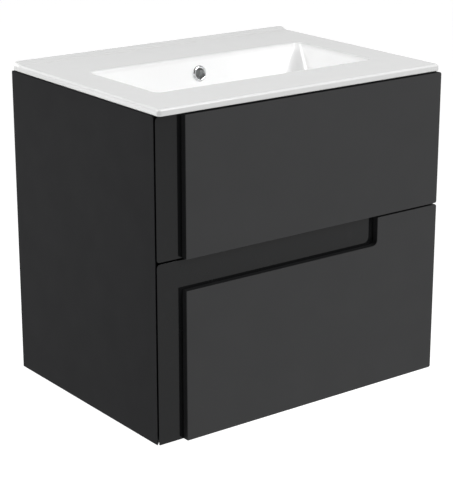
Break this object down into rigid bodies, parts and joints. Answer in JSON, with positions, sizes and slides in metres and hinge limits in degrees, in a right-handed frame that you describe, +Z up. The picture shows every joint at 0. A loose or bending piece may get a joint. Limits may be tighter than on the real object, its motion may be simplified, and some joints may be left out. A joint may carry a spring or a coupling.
{
  "type": "bathroom vanity cabinet",
  "caption": "Wall-hung anthracite vanity with a thin white ceramic basin top and two handleless drawers with layered gloss and matt fronts and a finger recess.",
  "frame": {"origin": "centre of the back face of the upper wall rail, where the cabinet hangs against the wall", "axes": "+X to the right seen from the front, +Y back into the wall, +Z up; the fronts face -Y"},
  "size_m": [0.6, 0.452, 0.5712],
  "materials": {
    "carcass_lacquer": "satin anthracite lacquer on board",
    "gloss_front": "high-gloss anthracite lacquer on board",
    "matt_front": "matt anthracite lacquer on board",
    "ceramic": "white glaze",
    "chrome": "polished chrome plate",
    "brass": "plain turned brass",
    "rubber": "black rubber",
    "grey_plastic": "fine-grained grey plastic",
    "drawer_board": "grey melamine-faced board",
    "drawer_metal": "satin anthracite powder coat on steel",
    "runner_steel": "zinc-plated steel"
  },
  "bodies": {
    "cabinet": {"basin": "ceramic", "bottom_panel": "carcass_lacquer", "front_middle_rail": "carcass_lacquer", "front_top_rail": "carcass_lacquer", "left_hanger": "grey_plastic", "left_side_panel": "carcass_lacquer", "left_wall_plate": "runner_steel", "lower_left_cabinet_rail": "runner_steel", "lower_right_cabinet_rail": "runner_steel", "lower_wall_rail": "carcass_lacquer", "overflow_ring": "chrome", "right_hanger": "grey_plastic", "right_side_panel": "carcass_lacquer", "right_wall_plate": "runner_steel", "upper_left_cabinet_rail": "runner_steel", "upper_right_cabinet_rail": "runner_steel", "upper_wall_rail": "carcass_lacquer", "waste_body": "chrome", "waste_gasket": "rubber", "waste_guide": "grey_plastic", "waste_nut": "brass"},
    "lower_drawer": {"lower_drawer_bottom": "drawer_board", "lower_gloss_layer": "gloss_front", "lower_left_drawer_profile": "runner_steel", "lower_left_front_bracket": "runner_steel", "lower_left_gallery_rail": "drawer_metal", "lower_left_side": "drawer_metal", "lower_matt_layer": "matt_front", "lower_rear_panel": "drawer_board", "lower_right_drawer_profile": "runner_steel", "lower_right_front_bracket": "runner_steel", "lower_right_gallery_rail": "drawer_metal", "lower_right_side": "drawer_metal"},
    "lower_runners": {"lower_left_middle_profile": "runner_steel", "lower_right_middle_profile": "runner_steel"},
    "upper_drawer": {"siphon_surround": "grey_plastic", "upper_drawer_bottom": "drawer_board", "upper_gloss_layer": "gloss_front", "upper_left_drawer_profile": "runner_steel", "upper_left_front_bracket": "runner_steel", "upper_left_rear_panel": "drawer_board", "upper_left_side": "drawer_metal", "upper_matt_layer": "matt_front", "upper_right_drawer_profile": "runner_steel", "upper_right_front_bracket": "runner_steel", "upper_right_rear_panel": "drawer_board", "upper_right_side": "drawer_metal"},
    "upper_runners": {"upper_left_middle_profile": "runner_steel", "upper_right_middle_profile": "runner_steel"},
    "waste_plug": {"waste_plug": "chrome"}
  },
  "joints": [
    {"name": "upper_drawer_slide", "type": "slide", "parent": "cabinet", "child": "upper_drawer", "axis": [0, -1, 0], "range_m": [0, 0.34]},
    {"name": "upper_runner_slide", "type": "slide", "parent": "cabinet", "child": "upper_runners", "axis": [0, -1, 0], "range_m": [0, 0.17]},
    {"name": "lower_drawer_slide", "type": "slide", "parent": "cabinet", "child": "lower_drawer", "axis": [0, -1, 0], "range_m": [0, 0.34]},
    {"name": "lower_runner_slide", "type": "slide", "parent": "cabinet", "child": "lower_runners", "axis": [0, -1, 0], "range_m": [0, 0.17]},
    {"name": "waste_plug_lift", "type": "slide", "parent": "cabinet", "child": "waste_plug", "axis": [0, 0, 1], "range_m": [0, 0.008]}
  ],
  "couplings": [
    {"joint": "upper_runner_slide", "follows": "upper_drawer_slide", "ratio": 0.5},
    {"joint": "lower_runner_slide", "follows": "lower_drawer_slide", "ratio": 0.5}
  ]
}
